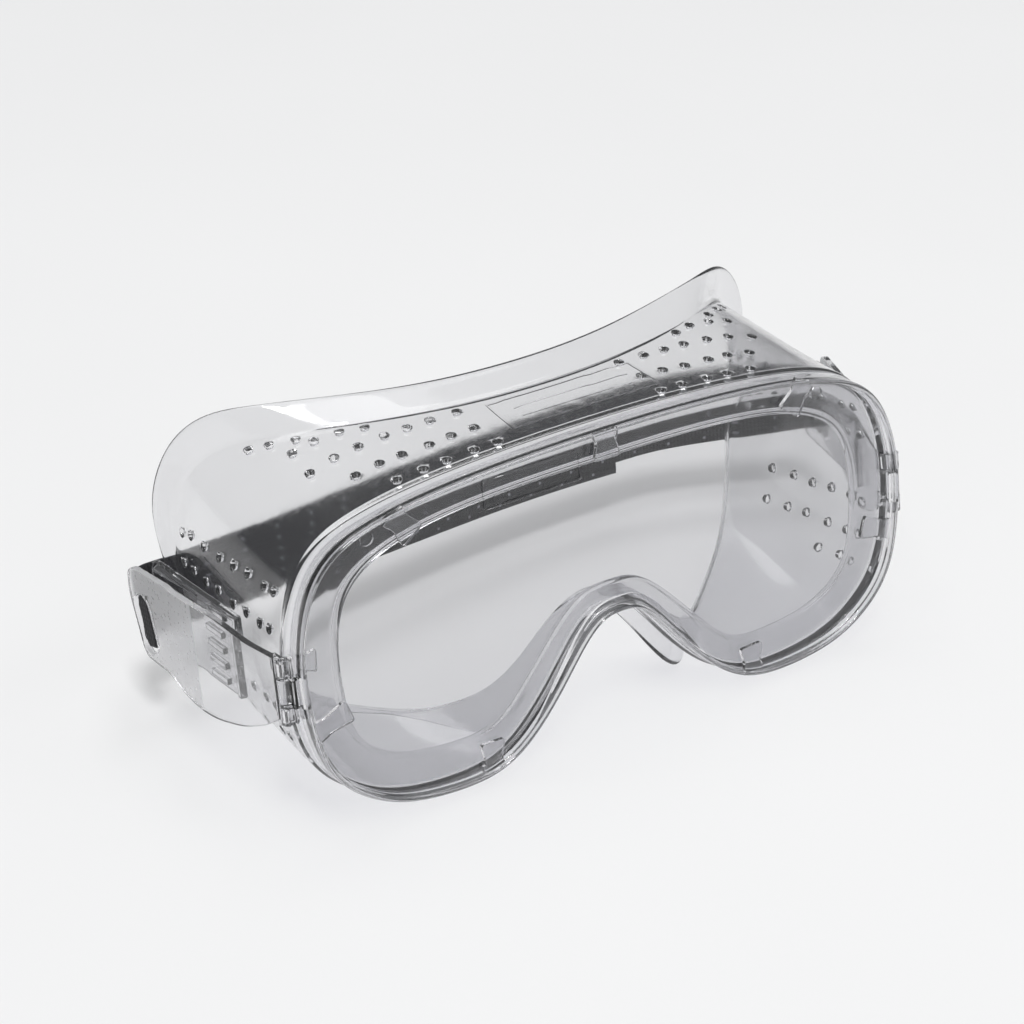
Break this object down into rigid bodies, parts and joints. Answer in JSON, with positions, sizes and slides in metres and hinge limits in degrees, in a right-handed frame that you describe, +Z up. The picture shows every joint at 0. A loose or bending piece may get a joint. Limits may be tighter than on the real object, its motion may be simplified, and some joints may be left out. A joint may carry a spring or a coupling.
{
  "type": "safety goggles",
  "caption": "Soft-framed cover goggles with a flat clear lens, perforated vents, hinged strap clips and a webbing strap.",
  "frame": {"origin": "on the table, under the middle of the outer box of the whole part as it stands, right clip swung out", "axes": "+Z up, +X towards the goggles' own right-hand side as seen from the front, -Y the way the lens looks"},
  "size_m": [0.2016, 0.0893, 0.0783],
  "materials": {
    "frame": "soft clear vinyl, slightly milky, smooth outside",
    "lens": "clear polished polycarbonate",
    "clip": "clear rigid plastic, smooth",
    "strap": "woven elastic webbing, matt black"
  },
  "bodies": {
    "goggles": {"frame_body": "frame", "lens": "lens", "strap_span": "strap", "strap_tail": "strap"},
    "left_clip": {"left_clip_arm": "clip", "left_strap_keeper": "clip", "left_strap_loop": "strap"},
    "right_clip": {"right_clip_arm": "clip", "right_strap_keeper": "clip", "right_strap_loop": "strap"}
  },
  "joints": [
    {"name": "left_clip_hinge", "type": "hinge", "parent": "goggles", "child": "left_clip", "pos_m": [-0.09386, -0.0335, 0.03951], "axis": [0, 0.1564, 0.9877], "range_deg": [0, 35]},
    {"name": "right_clip_hinge", "type": "hinge", "parent": "goggles", "child": "right_clip", "pos_m": [0.07454, -0.0335, 0.03951], "axis": [0, -0.1564, -0.9877], "range_deg": [-18, 17]}
  ]
}
